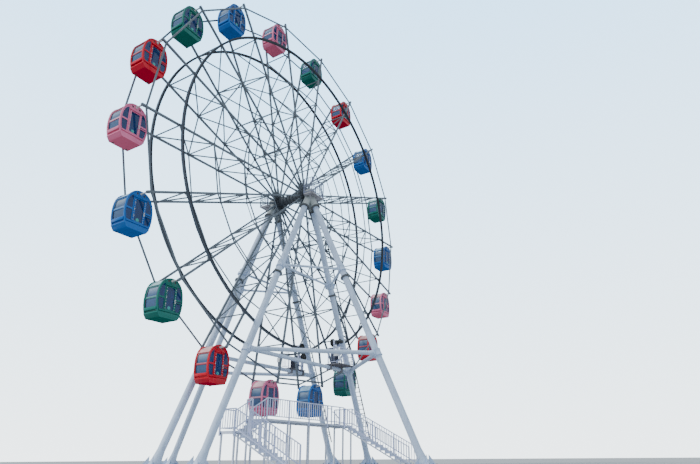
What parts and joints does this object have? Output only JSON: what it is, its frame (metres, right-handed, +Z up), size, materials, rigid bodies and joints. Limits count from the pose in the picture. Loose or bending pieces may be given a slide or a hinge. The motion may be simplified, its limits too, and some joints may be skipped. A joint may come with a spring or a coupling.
{
  "type": "ferris wheel",
  "caption": "Fairground ferris wheel with level gondola cabins on a lattice wheel between steel tripods, with boarding deck, stairs and rim tyre drives.",
  "frame": {"origin": "on the ground, midway between the six feet, below the axle's middle", "axes": "+Z up, Y along the wheel's axle with -Y the boarding side, +X to the right from there"},
  "size_m": [26.666, 19.5556, 29.7222],
  "materials": {
    "white_steel": "semi-gloss paint",
    "grey_steel": "satin paint",
    "dark_steel": "satin paint",
    "tyre_rubber": "worn rubber",
    "cabin_green": "gloss",
    "cabin_blue": "gloss",
    "cabin_pink": "gloss",
    "cabin_red": "gloss",
    "cabin_trim": "gloss",
    "cabin_glass": "tinted",
    "black_trim": "matte",
    "bare_metal": "satin"
  },
  "bodies": {
    "root": {"leg_near_left": "white_steel", "leg_near_right": "white_steel", "leg_near_outer": "white_steel", "bearing_head_near": "white_steel", "brace_lower_near": "white_steel", "brace_upper_near": "white_steel", "ladder_near": "grey_steel", "drive_platform_near": "grey_steel", "leg_far_left": "white_steel", "leg_far_right": "white_steel", "leg_far_outer": "white_steel", "bearing_head_far": "white_steel", "brace_lower_far": "white_steel", "brace_upper_far": "white_steel", "ladder_far": "grey_steel", "drive_platform_far": "grey_steel", "boarding_deck": "white_steel", "stair_landing": "white_steel", "stair_right": "white_steel", "stair_left_lower": "white_steel", "stair_left_upper": "white_steel", "railing_deck_front": "white_steel", "railing_left_stair_inner": "white_steel", "railing_left_stair_outer": "white_steel", "railing_right_stair_inner": "white_steel", "railing_right_stair_outer": "white_steel"},
    "wheel": {"hub": "dark_steel", "rim_near": "dark_steel", "rim_far": "dark_steel", "spoke_sector_1": "grey_steel", "spoke_sector_2": "grey_steel", "spoke_sector_3": "grey_steel", "spoke_sector_4": "grey_steel", "spoke_sector_5": "grey_steel", "spoke_sector_6": "grey_steel"},
    "cabin_01_green": {"cabin_01_green": "cabin_green"},
    "cabin_02_blue": {"cabin_02_blue": "cabin_blue"},
    "cabin_03_pink": {"cabin_03_pink": "cabin_pink"},
    "cabin_04_green": {"cabin_04_green": "cabin_green"},
    "cabin_05_red": {"cabin_05_red": "cabin_red"},
    "cabin_06_blue": {"cabin_06_blue": "cabin_blue"},
    "cabin_07_green": {"cabin_07_green": "cabin_green"},
    "cabin_08_blue": {"cabin_08_blue": "cabin_blue"},
    "cabin_09_pink": {"cabin_09_pink": "cabin_pink"},
    "cabin_10_red": {"cabin_10_red": "cabin_red"},
    "cabin_11_green": {"cabin_11_green": "cabin_green"},
    "cabin_12_blue": {"cabin_12_blue": "cabin_blue"},
    "cabin_13_pink": {"cabin_13_pink": "cabin_pink"},
    "cabin_14_red": {"cabin_14_red": "cabin_red"},
    "cabin_15_green": {"cabin_15_green": "cabin_green"},
    "cabin_16_blue": {"cabin_16_blue": "cabin_blue"},
    "cabin_17_pink": {"cabin_17_pink": "cabin_pink"},
    "cabin_18_red": {"cabin_18_red": "cabin_red"},
    "drive_tyre_near_outer": {"drive_tyre_near_outer": "tyre_rubber"},
    "drive_tyre_near_inner": {"drive_tyre_near_inner": "tyre_rubber"},
    "drive_tyre_far_outer": {"drive_tyre_far_outer": "tyre_rubber"},
    "drive_tyre_far_inner": {"drive_tyre_far_inner": "tyre_rubber"}
  },
  "joints": [
    {"name": "wheel_spin", "type": "hinge", "parent": "root", "child": "wheel", "pos_m": [0, 0, 17.1], "axis": [0, 1, 0], "continuous": true},
    {"name": "cabin_01_level", "type": "hinge", "parent": "wheel", "child": "cabin_01_green", "pos_m": [-9.9963, 0, 24.7704], "axis": [0, 1, 0], "continuous": true},
    {"name": "cabin_02_level", "type": "hinge", "parent": "wheel", "child": "cabin_02_blue", "pos_m": [-6.77, 0, 27.7267], "axis": [0, 1, 0], "continuous": true},
    {"name": "cabin_03_level", "type": "hinge", "parent": "wheel", "child": "cabin_03_pink", "pos_m": [-2.7271, 0, 29.4013], "axis": [0, 1, 0], "continuous": true},
    {"name": "cabin_04_level", "type": "hinge", "parent": "wheel", "child": "cabin_04_green", "pos_m": [1.6446, 0, 29.5922], "axis": [0, 1, 0], "continuous": true},
    {"name": "cabin_05_level", "type": "hinge", "parent": "wheel", "child": "cabin_05_red", "pos_m": [5.818, 0, 28.2763], "axis": [0, 1, 0], "continuous": true},
    {"name": "cabin_06_level", "type": "hinge", "parent": "wheel", "child": "cabin_06_blue", "pos_m": [9.2897, 0, 25.6124], "axis": [0, 1, 0], "continuous": true},
    {"name": "cabin_07_level", "type": "hinge", "parent": "wheel", "child": "cabin_07_green", "pos_m": [11.6409, 0, 21.9218], "axis": [0, 1, 0], "continuous": true},
    {"name": "cabin_08_level", "type": "hinge", "parent": "wheel", "child": "cabin_08_blue", "pos_m": [12.588, 0, 17.6496], "axis": [0, 1, 0], "continuous": true},
    {"name": "cabin_09_level", "type": "hinge", "parent": "wheel", "child": "cabin_09_pink", "pos_m": [12.0168, 0, 13.3111], "axis": [0, 1, 0], "continuous": true},
    {"name": "cabin_10_level", "type": "hinge", "parent": "wheel", "child": "cabin_10_red", "pos_m": [9.9963, 0, 9.4296], "axis": [0, 1, 0], "continuous": true},
    {"name": "cabin_11_level", "type": "hinge", "parent": "wheel", "child": "cabin_11_green", "pos_m": [6.77, 0, 6.4733], "axis": [0, 1, 0], "continuous": true},
    {"name": "cabin_12_level", "type": "hinge", "parent": "wheel", "child": "cabin_12_blue", "pos_m": [2.7271, 0, 4.7987], "axis": [0, 1, 0], "continuous": true},
    {"name": "cabin_13_level", "type": "hinge", "parent": "wheel", "child": "cabin_13_pink", "pos_m": [-1.6446, 0, 4.6078], "axis": [0, 1, 0], "continuous": true},
    {"name": "cabin_14_level", "type": "hinge", "parent": "wheel", "child": "cabin_14_red", "pos_m": [-5.818, 0, 5.9237], "axis": [0, 1, 0], "continuous": true},
    {"name": "cabin_15_level", "type": "hinge", "parent": "wheel", "child": "cabin_15_green", "pos_m": [-9.2897, 0, 8.5876], "axis": [0, 1, 0], "continuous": true},
    {"name": "cabin_16_level", "type": "hinge", "parent": "wheel", "child": "cabin_16_blue", "pos_m": [-11.6409, 0, 12.2782], "axis": [0, 1, 0], "continuous": true},
    {"name": "cabin_17_level", "type": "hinge", "parent": "wheel", "child": "cabin_17_pink", "pos_m": [-12.588, 0, 16.5504], "axis": [0, 1, 0], "continuous": true},
    {"name": "cabin_18_level", "type": "hinge", "parent": "wheel", "child": "cabin_18_red", "pos_m": [-12.0168, 0, 20.8889], "axis": [0, 1, 0], "continuous": true},
    {"name": "drive_tyre_near_outer_spin", "type": "hinge", "parent": "root", "child": "drive_tyre_near_outer", "pos_m": [3.6723, -1.223, 7.0105], "axis": [0, 1, 0], "continuous": true},
    {"name": "drive_tyre_near_inner_spin", "type": "hinge", "parent": "root", "child": "drive_tyre_near_inner", "pos_m": [3.4344, -1.223, 7.664], "axis": [0, 1, 0], "continuous": true},
    {"name": "drive_tyre_far_outer_spin", "type": "hinge", "parent": "root", "child": "drive_tyre_far_outer", "pos_m": [3.4956, 1.223, 6.948], "axis": [0, 1, 0], "continuous": true},
    {"name": "drive_tyre_far_inner_spin", "type": "hinge", "parent": "root", "child": "drive_tyre_far_inner", "pos_m": [3.2692, 1.223, 7.6055], "axis": [0, 1, 0], "continuous": true}
  ],
  "couplings": [
    {"joint": "cabin_01_level", "follows": "wheel_spin", "ratio": -1},
    {"joint": "cabin_02_level", "follows": "wheel_spin", "ratio": -1},
    {"joint": "cabin_03_level", "follows": "wheel_spin", "ratio": -1},
    {"joint": "cabin_04_level", "follows": "wheel_spin", "ratio": -1},
    {"joint": "cabin_05_level", "follows": "wheel_spin", "ratio": -1},
    {"joint": "cabin_06_level", "follows": "wheel_spin", "ratio": -1},
    {"joint": "cabin_07_level", "follows": "wheel_spin", "ratio": -1},
    {"joint": "cabin_08_level", "follows": "wheel_spin", "ratio": -1},
    {"joint": "cabin_09_level", "follows": "wheel_spin", "ratio": -1},
    {"joint": "cabin_10_level", "follows": "wheel_spin", "ratio": -1},
    {"joint": "cabin_11_level", "follows": "wheel_spin", "ratio": -1},
    {"joint": "cabin_12_level", "follows": "wheel_spin", "ratio": -1},
    {"joint": "cabin_13_level", "follows": "wheel_spin", "ratio": -1},
    {"joint": "cabin_14_level", "follows": "wheel_spin", "ratio": -1},
    {"joint": "cabin_15_level", "follows": "wheel_spin", "ratio": -1},
    {"joint": "cabin_16_level", "follows": "wheel_spin", "ratio": -1},
    {"joint": "cabin_17_level", "follows": "wheel_spin", "ratio": -1},
    {"joint": "cabin_18_level", "follows": "wheel_spin", "ratio": -1},
    {"joint": "drive_tyre_near_outer_spin", "follows": "wheel_spin", "ratio": -45.643},
    {"joint": "drive_tyre_near_inner_spin", "follows": "wheel_spin", "ratio": 44.774},
    {"joint": "drive_tyre_far_outer_spin", "follows": "wheel_spin", "ratio": -45.643},
    {"joint": "drive_tyre_far_inner_spin", "follows": "wheel_spin", "ratio": 44.774}
  ]
}
